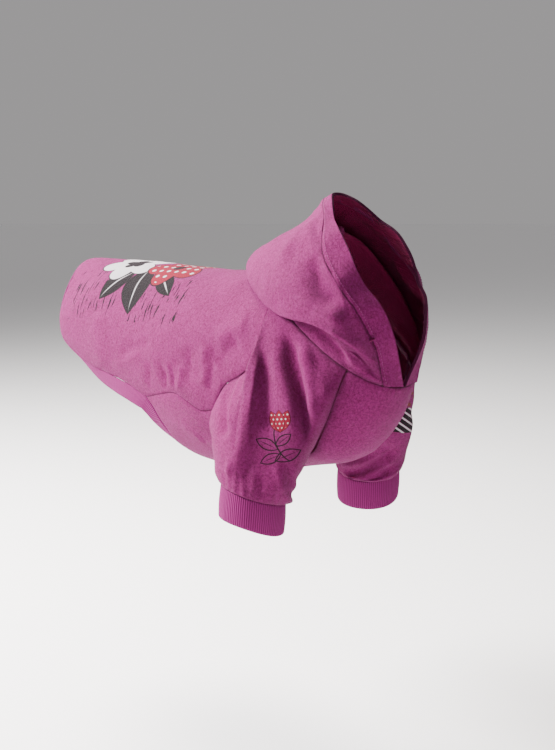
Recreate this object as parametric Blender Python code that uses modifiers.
"""Dog hooded sweatshirt with short raglan sleeves, filled out as if worn.

Axes: +X towards the dog's head, +Y the dog's left, +Z up, metres.
The origin is on the underside of the cloth at the withers, where the garment hangs on the back.
The trunk is one bent tube.  u runs along it from the rear (0) to the neck seam (1) and v runs
round it: 0 back, 0.25 right side, 0.5 belly, 0.75 left side.  Each seam is a curve in (u, v).
"""
import bmesh
import bpy
import numpy as np

# Named sizes in metres
BODY_LENGTH = 0.500
CHEST_WIDTH = 0.184
CHEST_DEPTH = 0.230
CUFF_RADIUS = 0.0365
CUFF_HEIGHT = 0.034
HEM_BAND_WIDTH = 0.020
CLOTH = 0.0018
RIB_CLOTH = 0.0026
FOLDED_CLOTH = 0.0032
SEAM_GAP = 0.0009
HOOD_HEM_GAP = 0.0018
HOOD_CENTRE_GAP = 0.0016
SLEEVE_EASE = 0.0020

# Cells of each cloth, along and across
SIDE_SEAM_CELLS = 8
RAGLAN_BACK_CELLS = 13
RAGLAN_FRONT_CELLS = 15
SLEEVE_NECK_CELLS = 7
BACK_CELLS_ACROSS = 24
BELLY_CELLS_ACROSS = 14
SLEEVE_CELLS_DOWN = 11
HOOD_CELLS = (15, 22)
HOOD_HEM_CELLS_ACROSS = 3
HOOD_HEM_END_CELLS = 6
BAND_CELLS = (56, 2)
CUFF_CELLS = (28, 2)

# Cross-sections of the trunk, rear to neck
# u, centre x / BODY_LENGTH, centre z / CHEST_DEPTH, tilt in degrees,
# height above and below centre / CHEST_DEPTH, half width / CHEST_WIDTH
TRUNK = (
    (0.00, -0.800, -0.313, 0, 0.330, 0.339, 0.272),
    (0.11, -0.740, -0.322, 0, 0.357, 0.357, 0.359),
    (0.22, -0.640, -0.348, 0, 0.378, 0.383, 0.429),
    (0.33, -0.480, -0.391, 0, 0.417, 0.426, 0.473),
    (0.44, -0.306, -0.452, 0, 0.470, 0.474, 0.495),
    (0.55, -0.168, -0.491, 0, 0.504, 0.497, 0.505),
    (0.66, -0.040, -0.491, 5, 0.500, 0.492, 0.500),
    (0.77, 0.060, -0.457, 18, 0.470, 0.480, 0.478),
    (0.89, 0.144, -0.365, 36, 0.422, 0.525, 0.440),
    (1.00, 0.210, -0.226, 56, 0.400, 0.435, 0.348),
)
ROUNDNESS = 0.9

# Seams on the trunk: share along the seam, u, v
HEM_OF_BACK = (
    (0.00, 0.150, 0.000),
    (0.10, 0.160, 0.050),
    (0.26, 0.190, 0.130),
    (0.40, 0.193, 0.193),
    (0.50, 0.188, 0.240),
    (0.58, 0.200, 0.268),
    (0.68, 0.248, 0.289),
    (0.79, 0.318, 0.301),
    (0.88, 0.380, 0.298),
    (0.94, 0.423, 0.297),
    (1.00, 0.466, 0.303),
)
HEM_OF_BELLY = (
    (0.00, 0.506, 0.500),
    (0.35, 0.506, 0.440),
    (0.62, 0.502, 0.390),
    (0.80, 0.493, 0.347),
    (0.91, 0.482, 0.319),
    (1.00, 0.466, 0.303),
)
SIDE_SEAM = (
    (0.00, 0.466, 0.303),
    (0.27, 0.518, 0.284),
    (0.50, 0.570, 0.274),
    (0.68, 0.606, 0.284),
    (0.84, 0.638, 0.295),
    (1.00, 0.672, 0.292),
)
RAGLAN_BACK_SEAM = (
    (0.00, 0.672, 0.292),
    (0.12, 0.690, 0.275),
    (0.22, 0.715, 0.258),
    (0.40, 0.785, 0.248),
    (0.58, 0.853, 0.239),
    (0.72, 0.892, 0.212),
    (0.86, 0.940, 0.172),
    (1.00, 1.000, 0.125),
)
RAGLAN_FRONT_SEAM = (
    (0.00, 0.672, 0.292),
    (0.06, 0.670, 0.315),
    (0.13, 0.682, 0.345),
    (0.27, 0.725, 0.385),
    (0.43, 0.785, 0.408),
    (0.58, 0.840, 0.408),
    (0.73, 0.893, 0.381),
    (0.87, 0.950, 0.362),
    (1.00, 1.000, 0.352),
)
SIDE_SHARE_OF_BACK = 0.34
SIDE_SHARE_OF_BELLY = 0.30
BACK_HEM_SHARE = 0.66

# Middle of the cuff seam on the right: x / BODY_LENGTH, y / CHEST_WIDTH, z / CHEST_DEPTH
CUFF_MIDDLE = (0.119, -0.499, -0.988)
# The cuff's rings lie square to its lean, and it falls a little more upright
CUFF_LEAN = (-0.18, -0.24, -1.0)
CUFF_FALL = (-0.06, -0.04, -1.0)

# Sleeve, once round: the back seam, the underarm and front seam, then the neck seam
SLEEVE_SEAM_ENDS = (0.38, 0.86)
# share round, angle on the cuff (0 outward, 90 rear), bulge / CHEST_DEPTH, where the bulge
# is greatest, its direction in degrees, overhang at the cuff / CHEST_DEPTH
SLEEVE = (
    (0.00, -32, 0.083, 0.34, -25, 0.009),
    (0.14, 8, 0.065, 0.42, -5, 0.013),
    (0.27, 52, 0.060, 0.50, 35, 0.026),
    (0.38, 92, 0.040, 0.45, 60, 0.026),
    (0.44, 125, 0.012, 0.45, 60, 0.013),
    (0.52, 175, 0.000, 0.50, 90, 0.017),
    (0.60, 216, 0.013, 0.50, 300, 0.040),
    (0.69, 246, 0.050, 0.55, 320, 0.044),
    (0.78, 270, 0.060, 0.55, 315, 0.030),
    (0.86, 290, 0.050, 0.50, 320, 0.017),
    (0.93, 308, 0.050, 0.45, 335, 0.009),
    (1.00, 328, 0.083, 0.34, 335, 0.009),
)
CUFF_APPROACH = 0.35
OVERHANG_PLACE = 0.93
OVERHANG_SPREAD = 0.06

# How far the rear band turns inward: share round from the back to the belly, degrees
BAND_TURN = (
    (0.00, 72),
    (0.25, 72),
    (0.38, 62),
    (0.46, 36),
    (0.52, 10),
    (0.60, -12),
    (0.67, -12),
    (0.76, 4),
    (1.00, 10),
)

# Hood lines on the right half, from the back centre (0) towards the front (1)
# share along, x / BODY_LENGTH, y / CHEST_WIDTH, z / CHEST_DEPTH
# Each line but the last ends on the stitch line of the hem
HOOD_NAPE = (
    (0.00, 0.128, 0.000, 0.096),
    (0.20, 0.148, -0.163, 0.052),
    (0.40, 0.192, -0.272, -0.061),
    (0.60, 0.256, -0.326, -0.200),
    (0.80, 0.328, -0.272, -0.365),
    (0.90, 0.346, -0.228, -0.409),
)
HOOD_ROLL = (
    (0.00, 0.202, 0.000, 0.226),
    (0.20, 0.212, -0.174, 0.183),
    (0.40, 0.236, -0.293, 0.035),
    (0.60, 0.280, -0.337, -0.157),
    (0.80, 0.338, -0.283, -0.330),
    (0.90, 0.352, -0.234, -0.378),
)
HOOD_INNER = (
    (0.00, 0.088, 0.000, 0.157),
    (0.20, 0.112, -0.217, 0.087),
    (0.40, 0.188, -0.359, -0.061),
    (0.60, 0.278, -0.375, -0.162),
    (0.70, 0.306, -0.342, -0.248),
    (0.80, 0.336, -0.304, -0.313),
    (0.90, 0.354, -0.250, -0.352),
)
HOOD_FLOOR = (
    (0.00, -0.056, 0.000, 0.052),
    (0.06, -0.046, -0.087, 0.036),
    (0.15, -0.004, -0.207, 0.000),
    (0.30, 0.104, -0.326, -0.113),
    (0.45, 0.180, -0.375, -0.168),
    (0.60, 0.270, -0.404, -0.172),
    (0.70, 0.304, -0.375, -0.226),
    (0.80, 0.332, -0.332, -0.275),
    (0.90, 0.354, -0.272, -0.326),
)
HOOD_BAG = (
    (0.00, -0.092, 0.000, 0.078),
    (0.06, -0.080, -0.098, 0.050),
    (0.15, -0.028, -0.217, -0.009),
    (0.30, 0.088, -0.353, -0.130),
    (0.45, 0.182, -0.424, -0.172),
    (0.60, 0.262, -0.429, -0.178),
    (0.70, 0.302, -0.408, -0.204),
    (0.80, 0.330, -0.359, -0.243),
    (0.88, 0.348, -0.304, -0.287),
    (0.94, 0.360, -0.239, -0.352),
)
HOOD_LOWER = (
    (0.00, -0.020, 0.000, 0.165),
    (0.15, 0.028, -0.250, 0.104),
    (0.30, 0.120, -0.413, 0.000),
    (0.45, 0.212, -0.446, -0.096),
    (0.60, 0.276, -0.418, -0.143),
    (0.70, 0.308, -0.391, -0.178),
    (0.80, 0.334, -0.337, -0.226),
    (0.90, 0.357, -0.277, -0.278),
)
HOOD_UPPER = (
    (0.00, 0.072, 0.000, 0.243),
    (0.15, 0.124, -0.239, 0.209),
    (0.30, 0.192, -0.391, 0.078),
    (0.45, 0.258, -0.418, -0.035),
    (0.60, 0.306, -0.386, -0.096),
    (0.70, 0.330, -0.353, -0.139),
    (0.80, 0.346, -0.304, -0.204),
    (0.90, 0.361, -0.261, -0.257),
)
HOOD_STITCH = (
    (0.00, 0.152, 0.000, 0.376),
    (0.07, 0.172, -0.087, 0.361),
    (0.15, 0.208, -0.179, 0.309),
    (0.30, 0.254, -0.315, 0.139),
    (0.45, 0.300, -0.353, 0.026),
    (0.60, 0.328, -0.332, -0.057),
    (0.70, 0.344, -0.310, -0.104),
    (0.80, 0.358, -0.266, -0.187),
    (0.85, 0.365, -0.239, -0.235),
    (0.90, 0.369, -0.209, -0.287),
    (1.00, 0.3704, -0.1446, -0.457),
)
HOOD_EDGE = (
    (0.00, 0.182, 0.000, 0.400),
    (0.05, 0.190, -0.060, 0.391),
    (0.09, 0.208, -0.109, 0.365),
    (0.15, 0.238, -0.179, 0.291),
    (0.22, 0.270, -0.228, 0.239),
    (0.32, 0.306, -0.250, 0.148),
    (0.45, 0.330, -0.250, 0.061),
    (0.58, 0.348, -0.228, -0.009),
    (0.70, 0.374, -0.201, -0.078),
    (0.80, 0.388, -0.163, -0.157),
    (0.90, 0.394, -0.114, -0.270),
    (1.00, 0.3812, -0.0065, -0.465),
)
# Where each hood line lies between the neck seam (0) and the stitch line (1)
HOOD_LINES = (
    (0.10, HOOD_NAPE),
    (0.20, HOOD_ROLL),
    (0.33, HOOD_INNER),
    (0.47, HOOD_FLOOR),
    (0.55, HOOD_BAG),
    (0.68, HOOD_LOWER),
    (0.82, HOOD_UPPER),
)
HOOD_NECK_END = 0.44
# The hood's front edge lies on the last part of the stitch line
FRONT_EDGE_START = 0.90
STITCH_EVEN_UNTIL = 0.80

# Main folds: half width / CHEST_DEPTH, height / CHEST_DEPTH (outward positive) and the line
# each one follows, in the cloth's own two shares
SLEEVE_FOLDS = (
    (0.042, 0.022, ((0.02, 0.25), (0.01, 0.50), (0.04, 0.70), (0.06, 0.90))),
    (0.034, -0.034, ((0.950, 0.07), (0.925, 0.20), (0.896, 0.33), (0.86, 0.46), (0.81, 0.51))),
    (0.036, -0.022, ((0.008, 0.26), (0.975, 0.40), (0.955, 0.52), (0.930, 0.66))),
    (0.038, -0.017, ((0.25, 0.06), (0.20, 0.42), (0.19, 0.65))),
    (0.028, 0.014, ((0.92, 0.05), (0.89, 0.14), (0.85, 0.22))),
    (0.024, -0.010, ((0.95, 0.87), (0.90, 0.91))),
)
HOOD_FOLDS = (
    (0.050, -0.020, ((0.31, 0.94), (0.42, 0.90), (0.62, 0.89))),
    (0.040, 0.014, ((0.54, 0.73), (0.66, 0.74), (0.76, 0.77))),
    (0.032, -0.010, ((0.39, 0.66), (0.40, 0.56))),
    (0.060, 0.008, ((0.19, 0.95), (0.27, 0.76))),
)
BACK_FOLDS = (
    (0.035, -0.010, ((0.52, 0.235), (0.535, 0.262))),
    (0.035, -0.010, ((0.57, 0.225), (0.575, 0.258))),
    (0.060, -0.012, ((0.70, 0.200), (0.630, 0.250))),
)

COLOURS = {
    "back_panel": (0.60, 0.17, 0.43),
    "belly_panel": (0.57, 0.17, 0.41),
    "sleeve_right": (0.58, 0.15, 0.42),
    "sleeve_left": (0.58, 0.15, 0.42),
    "cuff_right": (0.50, 0.12, 0.35),
    "cuff_left": (0.50, 0.12, 0.35),
    "hem_band": (0.50, 0.12, 0.35),
    "hood_right": (0.66, 0.20, 0.48),
    "hood_left": (0.66, 0.20, 0.48),
    "hood_hem": (0.68, 0.22, 0.50),
}


def curve(table, at, mirrored=None):
    """Smooth curve through the table's rows; `mirrored` lists columns that change sign below 0."""
    rows = np.array(table, float)
    if mirrored is not None:
        twin = rows[rows[:, 0] > 0][::-1].copy()
        twin[:, 0] *= -1
        twin[:, mirrored] *= -1
        rows = np.vstack([twin, rows])
    keys, values = rows[:, 0], rows[:, 1:]
    at = np.asarray(at, float)
    shape, flat = at.shape, at.ravel()
    step = keys[1:] - keys[:-1]
    rise = (values[1:] - values[:-1]) / step[:, None]
    slope = np.empty_like(values)
    slope[0], slope[-1] = rise[0], rise[-1]
    weight = (step[1:] + step[:-1])[:, None]
    slope[1:-1] = (rise[:-1] * step[1:, None] + rise[1:] * step[:-1, None]) / weight
    i = np.clip(np.searchsorted(keys, flat, side="right") - 1, 0, len(keys) - 2)
    x = ((flat - keys[i]) / step[i])[:, None]
    h = step[i][:, None]
    start = (2 * x ** 3 - 3 * x ** 2 + 1) * values[i] + (x ** 3 - 2 * x ** 2 + x) * h * slope[i]
    end = (3 * x ** 2 - 2 * x ** 3) * values[i + 1] + (x ** 3 - x ** 2) * h * slope[i + 1]
    return (start + end).reshape(shape + (values.shape[1],))


def unit(a):
    return a / (np.linalg.norm(a, axis=-1, keepdims=True) + 1e-12)


def either(test, yes, no):
    return np.where(test[..., None], yes, no)


def trunk(u, v):
    """Point on the outside of the trunk."""
    row = curve(TRUNK, u)
    x, z, tilt, up, down, half = np.moveaxis(row, -1, 0)
    tilt = np.radians(tilt)
    angle = 2 * np.pi * np.asarray(v, float)
    c, s = np.cos(angle), np.sin(angle)
    rise = np.where(c > 0, up, down) * np.sign(c) * np.abs(c) ** ROUNDNESS * CHEST_DEPTH
    side = -half * np.sign(s) * np.abs(s) ** ROUNDNESS * CHEST_WIDTH
    return np.stack(
        [x * BODY_LENGTH - rise * np.sin(tilt), side, z * CHEST_DEPTH + rise * np.cos(tilt)], -1
    )


def on_trunk(uv):
    return trunk(uv[..., 0], uv[..., 1])


def trunk_outward(uv):
    """Unit vector straight out of the trunk."""
    e = 1e-4
    along = on_trunk(uv + [e, 0]) - on_trunk(uv - [e, 0])
    round_ = on_trunk(uv + [0, e]) - on_trunk(uv - [0, e])
    return unit(np.cross(round_, along))


def two_seams(first, second, share, at):
    """The side seam, then a raglan seam, as one edge."""
    at = np.asarray(at, float)
    one = curve(first, np.clip(at / share, 0, 1))
    two = curve(second, np.clip((at - share) / (1 - share), 0, 1))
    return either(at < share, one, two)


def straight(start, end, at):
    return np.array(start) * (1 - at[..., None]) + np.array(end) * at[..., None]


def patch(a, b, middle, side, rear, front):
    """Fill between four edges: middle (b=0), side (b=1), rear (a=0) and front (a=1)."""
    zero, one = np.zeros(1), np.ones(1)
    p00, p10, p01, p11 = middle(zero)[0], middle(one)[0], side(zero)[0], side(one)[0]
    wide, deep = b[..., None], a[..., None]
    edges = (1 - wide) * middle(a) + wide * side(a) + (1 - deep) * rear(b) + deep * front(b)
    corners = (1 - deep) * ((1 - wide) * p00 + wide * p01) + deep * ((1 - wide) * p10 + wide * p11)
    return edges - corners


def back_uv(a, b):
    """(u, v) on the back panel; a rear to neck, b from the left side (-1) to the right (1)."""
    hem_u = HEM_OF_BACK[0][1]
    neck_v = RAGLAN_BACK_SEAM[-1][2]
    uv = patch(
        a,
        np.abs(b),
        lambda q: straight((hem_u, 0), (1, 0), q),
        lambda q: two_seams(SIDE_SEAM, RAGLAN_BACK_SEAM, SIDE_SHARE_OF_BACK, q),
        lambda q: curve(HEM_OF_BACK, q),
        lambda q: straight((1, 0), (1, neck_v), q),
    )
    uv[..., 1] *= np.sign(b)
    return uv


def belly_uv(a, b):
    """(u, v) on the chest and belly panel; b from the right side (1) to the left (-1)."""
    hem_u = HEM_OF_BELLY[0][1]
    neck_v = RAGLAN_FRONT_SEAM[-1][2]
    uv = patch(
        a,
        np.abs(b),
        lambda q: straight((hem_u, 0.5), (1, 0.5), q),
        lambda q: two_seams(SIDE_SEAM, RAGLAN_FRONT_SEAM, SIDE_SHARE_OF_BELLY, q),
        lambda q: curve(HEM_OF_BELLY, q),
        lambda q: straight((1, 0.5), (1, neck_v), q),
    )
    uv[..., 1] = 0.5 + (uv[..., 1] - 0.5) * np.sign(b)
    return uv


def cuff_axes():
    """Direction square to the cuff's rings, then outward and rearward across them."""
    down = unit(np.array(CUFF_LEAN))
    out = np.array([0.0, -1.0, 0.0])
    out = unit(out - down * (out @ down))
    rear = np.cross(down, out)
    return down, out, rear * np.sign(-rear[0])


def cuff_ring(angle, drop, radius):
    """Point on the right cuff: angle in degrees (0 outward, 90 rear) and drop below its seam."""
    _, out, rear = cuff_axes()
    down = unit(np.array(CUFF_FALL))
    middle = np.array(CUFF_MIDDLE) * [BODY_LENGTH, CHEST_WIDTH, CHEST_DEPTH]
    a = np.radians(angle)[..., None]
    around = np.cos(a) * out + np.sin(a) * rear
    return middle + np.asarray(radius)[..., None] * around + np.asarray(drop)[..., None] * down


def sleeve_top_uv(s):
    """(u, v) round the top edge of the right sleeve."""
    first, second = SLEEVE_SEAM_ENDS
    s = np.asarray(s, float)
    back = curve(RAGLAN_BACK_SEAM, np.clip(1 - s / first, 0, 1))
    front = curve(RAGLAN_FRONT_SEAM, np.clip((s - first) / (second - first), 0, 1))
    neck_share = np.clip((s - second) / (1 - second), 0, 1)
    neck = straight((1, RAGLAN_FRONT_SEAM[-1][2]), (1, RAGLAN_BACK_SEAM[-1][2]), neck_share)
    return either(s < first, back, either(s < second, front, neck))


def level_direction(angle):
    """Level unit vector, 0 outward from the right side and 90 rearward."""
    a = np.radians(angle)[..., None]
    return np.cos(a) * np.array([0.0, -1.0, 0.0]) + np.sin(a) * np.array([-1.0, 0.0, 0.0])


def sleeve(s, t):
    """Point on the right sleeve; s round it, t from the raglan seam to the cuff seam."""
    row = curve(SLEEVE, s)
    angle, bulge, place, lean, overhang = np.moveaxis(row, -1, 0)
    top = on_trunk(sleeve_top_uv(s))
    end = cuff_ring(angle, 0 * s, CUFF_RADIUS + SLEEVE_EASE + 0 * s)
    down = unit(np.array(CUFF_FALL))
    length = np.linalg.norm(end - top, axis=-1)
    early = t ** (np.log(0.5) / np.log(place))
    swell = (4 * early * (1 - early) * bulge * CHEST_DEPTH)[..., None] * level_direction(lean)
    approach = (-CUFF_APPROACH * t ** 2 * (1 - t) * length)[..., None] * down
    hang = np.exp(-(((t - OVERHANG_PLACE) / OVERHANG_SPREAD) ** 2)) * (1 - t ** 12)
    tuck = (hang * overhang * CHEST_DEPTH)[..., None] * (level_direction(angle) + 0.3 * down)
    return top * (1 - t[..., None]) + end * t[..., None] + swell + approach + tuck


def hood_line(table, s):
    scale = np.array([BODY_LENGTH, CHEST_WIDTH, CHEST_DEPTH])
    return curve(table, s, mirrored=[2]) * scale


def stitch_share(s):
    """Where the hood's share s falls along the stitch line."""
    even = STITCH_EVEN_UNTIL
    late = even + (s - even) * (FRONT_EDGE_START - even) / (1 - even)
    return np.where(s < even, s, late)


def hood(s, t):
    """Point on the right half of the hood; s back to front, t neck seam to stitch line."""
    lines = [(0.0, trunk(np.ones_like(s), HOOD_NECK_END * s))]
    for share, table in HOOD_LINES:
        front = curve(HOOD_STITCH, 1 - (1 - FRONT_EDGE_START) * share)
        lines.append((share, hood_line(list(table) + [(1.0, *front)], s)))
    lines.append((1.0, hood_line(HOOD_STITCH, stitch_share(s))))
    rows = [[share] + list(points.ravel()) for share, points in lines]
    return curve(rows, t).reshape(len(t), len(s), 3)


def hood_hem(s, t):
    """Point on the folded hem; s along it from left front (-1) to right front (1)."""
    stitch, edge = hood_line(HOOD_STITCH, s), hood_line(HOOD_EDGE, s)
    return stitch * (1 - t[:, None, None]) + edge * t[:, None, None]


def hem_uv(q):
    """(u, v) along the rear hem; q from the back centre (0) to the belly centre (1)."""
    k = BACK_HEM_SHARE
    back = curve(HEM_OF_BACK, np.clip(q / k, 0, 1))
    belly = curve(HEM_OF_BELLY, np.clip(1 - (q - k) / (1 - k), 0, 1))
    return either(q < k, back, belly)


def band(q, w):
    """Point on the right half of the rear band; w from its seam (0) to its free edge (1)."""
    e = 2e-3
    uv = hem_uv(q)
    along = unit(on_trunk(hem_uv(np.clip(q + e, 0, 1))) - on_trunk(hem_uv(np.clip(q - e, 0, 1))))
    outward = trunk_outward(uv)
    away = unit(np.cross(along, outward))
    turn = np.radians(curve(BAND_TURN, q))
    reach = np.cos(turn) * away - np.sin(turn) * outward
    clear = RIB_CLOTH * np.maximum(np.sin(turn), 0) * away
    return on_trunk(uv) + clear + w[..., None] * HEM_BAND_WIDTH * reach


def stretches(ends, cells):
    """Shares from 0 to 1 that fall on each of the ends."""
    parts = [np.linspace(a, b, n + 1)[:-1] for a, b, n in zip(ends[:-1], ends[1:], cells)]
    return np.append(np.concatenate(parts), ends[-1])


def grid(function, a, b):
    return function(*np.meshgrid(a, b, indexing="ij"))


def normals(points, ring=False):
    """Rows crossed with columns at every point; on a ring the last row repeats the first."""
    if ring:
        wide = np.concatenate([points[-2:-1], points, points[1:2]])
        along = (wide[2:] - wide[:-2]) / 2
    else:
        along = np.gradient(points, axis=0)
    return unit(np.cross(along, np.gradient(points, axis=1)))


def distance_to_line(points, line):
    """Distance to a line of short stretches, and the share of its length at the nearest point."""
    lengths = np.linalg.norm(np.diff(line, axis=0), axis=-1)
    starts = np.append(0, np.cumsum(lengths)) / lengths.sum()
    best = np.full(points.shape[:2], np.inf)
    share = np.zeros(points.shape[:2])
    for i, (a, b) in enumerate(zip(line[:-1], line[1:])):
        step = b - a
        along = np.clip(((points - a) @ step) / (step @ step), 0, 1)
        away = np.linalg.norm(points - a - along[..., None] * step, axis=-1)
        nearer = away < best
        best = np.where(nearer, away, best)
        share = np.where(nearer, starts[i] + along * (starts[i + 1] - starts[i]), share)
    return best, share


def fold(points, shares, rows, side=1, ring=False):
    """Push the cloth in or out along lines given in its own shares."""
    push = np.zeros(points.shape[:2])
    for width, height, line in rows:
        nearest = [np.argmin((shares[0] - a) ** 2 + (shares[1] - b) ** 2) for a, b in line]
        along = points.reshape(-1, 3)[nearest]
        distance, share = distance_to_line(points, along)
        taper = np.clip(np.minimum(share, 1 - share) / 0.3, 0.25, 1)
        push += height * CHEST_DEPTH * taper * np.exp(-((distance / (width * CHEST_DEPTH)) ** 2))
    push[:, [0, -1]] = 0
    if ring:
        push[-1] = push[0]
    else:
        push[[0, -1], :] = 0
    return points + side * push[..., None] * normals(points, ring)


def relax(points, rounds, ring=False):
    """Even out the inside of a grid of points; its edges stay."""
    for _ in range(rounds):
        wide = np.concatenate([points[-2:-1], points, points[1:2]]) if ring else points
        mean = wide[:-2, 1:-1] + wide[2:, 1:-1] + wide[1:-1, :-2] + wide[1:-1, 2:]
        inside = slice(None) if ring else slice(1, -1)
        points = points.copy()
        points[inside, 1:-1] = 0.5 * points[inside, 1:-1] + 0.125 * mean
    return points


def inset(points, first=True, last=True, gap=SEAM_GAP):
    """Draw the first and last rows back by the seam gap."""
    moved = points.copy()
    if first:
        moved[0] += gap * unit(points[1] - points[0])
    if last:
        moved[-1] += gap * unit(points[-2] - points[-1])
    return moved


def inset_sides(points, first=True, last=True, gap=SEAM_GAP):
    return inset(points.swapaxes(0, 1), first, last, gap).swapaxes(0, 1)


def cloth(name, points, thickness, collection, outward, ring=False):
    """A grid of points as cloth: an open surface thickened inwards.

    `outward` says that rows crossed with columns point out of the garment.
    """
    if ring:
        points = np.concatenate([points, points[:1]])
    rows, columns = points.shape[:2]
    bm = bmesh.new()
    bmesh.ops.create_grid(bm, x_segments=rows - 1, y_segments=columns - 1, size=0.5)
    for vert in bm.verts:
        i = round((vert.co.x + 0.5) * (rows - 1))
        j = round((vert.co.y + 0.5) * (columns - 1))
        vert.co = points[i, j]
    if ring:
        bmesh.ops.remove_doubles(bm, verts=bm.verts, dist=1e-6)
    if not outward:
        bmesh.ops.reverse_faces(bm, faces=bm.faces)
    for face in bm.faces:
        face.smooth = True
    mesh = bpy.data.meshes.new(name)
    bm.to_mesh(mesh)
    bm.free()
    obj = bpy.data.objects.new(name, mesh)
    collection.objects.link(obj)
    shell = obj.modifiers.new("thickness", "SOLIDIFY")
    shell.thickness = thickness
    shell.offset = -1.0
    shell.use_rim = True
    shell.show_viewport = True
    shell.show_render = True
    material = bpy.data.materials.new(name + "_cloth")
    material.use_nodes = True
    shader = material.node_tree.nodes["Principled BSDF"]
    shader.inputs["Base Color"].default_value = (*COLOURS[name], 1.0)
    shader.inputs["Roughness"].default_value = 0.9
    mesh.materials.append(material)
    return obj


def mirrored(points):
    return points * [1, -1, 1]


def make_back(collection):
    a = stretches((0, SIDE_SHARE_OF_BACK, 1), (SIDE_SEAM_CELLS, RAGLAN_BACK_CELLS))
    b = np.linspace(-1, 1, BACK_CELLS_ACROSS + 1)
    uv = relax(grid(back_uv, a, b), 100)
    points = on_trunk(uv)
    points = fold(points, (uv[..., 0], uv[..., 1]), BACK_FOLDS, side=-1)
    points = fold(points, (uv[..., 0], -uv[..., 1]), BACK_FOLDS, side=-1)
    cloth("back_panel", inset_sides(inset(points)), CLOTH, collection, outward=False)


def make_belly(collection):
    a = stretches((0, SIDE_SHARE_OF_BELLY, 1), (SIDE_SEAM_CELLS, RAGLAN_FRONT_CELLS))
    b = np.linspace(1, -1, BELLY_CELLS_ACROSS + 1)
    points = on_trunk(relax(grid(belly_uv, a, b), 8))
    cloth("belly_panel", inset_sides(inset(points)), CLOTH, collection, outward=False)


def make_sleeves(collection):
    cells = (RAGLAN_BACK_CELLS, RAGLAN_FRONT_CELLS, SLEEVE_NECK_CELLS)
    s = stretches((0, *SLEEVE_SEAM_ENDS, 1), cells)
    t = np.linspace(0, 1, SLEEVE_CELLS_DOWN + 1)
    shares = np.meshgrid(s, t, indexing="ij")
    points = relax(sleeve(*shares), 2, ring=True)
    points = fold(points, shares, SLEEVE_FOLDS, ring=True)
    points = inset_sides(points)[:-1]
    cloth("sleeve_right", points, CLOTH, collection, outward=True, ring=True)
    cloth("sleeve_left", mirrored(points), CLOTH, collection, outward=False, ring=True)


def make_cuffs(collection):
    angle = np.linspace(0, 360, CUFF_CELLS[0] + 1)[:-1]
    drop = np.linspace(0, CUFF_HEIGHT, CUFF_CELLS[1] + 1)
    angles, drops = np.meshgrid(angle, drop, indexing="ij")
    points = inset_sides(cuff_ring(angles, drops, CUFF_RADIUS + 0 * drops), last=False)
    cloth("cuff_right", points, RIB_CLOTH, collection, outward=True, ring=True)
    cloth("cuff_left", mirrored(points), RIB_CLOTH, collection, outward=False, ring=True)


def make_hood(collection):
    s = np.linspace(0, 1, HOOD_CELLS[0] + 1)
    t = np.linspace(0, 1, HOOD_CELLS[1] + 1)
    points = relax(hood(s, t).swapaxes(0, 1), 3)
    points = fold(points, np.meshgrid(s, t, indexing="ij"), HOOD_FOLDS, side=1)
    points = inset(points, last=False, gap=HOOD_CENTRE_GAP)
    points = inset_sides(inset(points, first=False))
    cloth("hood_right", points, CLOTH, collection, outward=True)
    cloth("hood_left", mirrored(points), CLOTH, collection, outward=False)


def make_hood_hem(collection):
    half = stitch_share(np.linspace(0, 1, HOOD_CELLS[0] + 1))
    front = np.linspace(FRONT_EDGE_START, 1, HOOD_HEM_END_CELLS + 1)
    half = np.append(half, front[1:])
    s = np.append(-half[:0:-1], half)
    t = np.linspace(0, 1, HOOD_HEM_CELLS_ACROSS + 1)
    points = inset_sides(hood_hem(s, t).swapaxes(0, 1), last=False, gap=HOOD_HEM_GAP)
    cloth("hood_hem", points, FOLDED_CLOTH, collection, outward=True)


def make_band(collection):
    half = BAND_CELLS[0] // 2
    q = np.linspace(0, 1, half + 1)
    w = np.linspace(0, 1, BAND_CELLS[1] + 1)
    right = grid(band, q, w)
    left = mirrored(right)[::-1]
    points = inset_sides(np.concatenate([right, left[1:-1]]), last=False)
    cloth("hem_band", points, RIB_CLOTH, collection, outward=False, ring=True)


def main():
    for obj in list(bpy.data.objects):
        bpy.data.objects.remove(obj, do_unlink=True)
    collection = bpy.data.collections.new("dog_hooded_sweatshirt")
    bpy.context.scene.collection.children.link(collection)
    make_back(collection)
    make_belly(collection)
    make_sleeves(collection)
    make_cuffs(collection)
    make_hood(collection)
    make_hood_hem(collection)
    make_band(collection)


main()
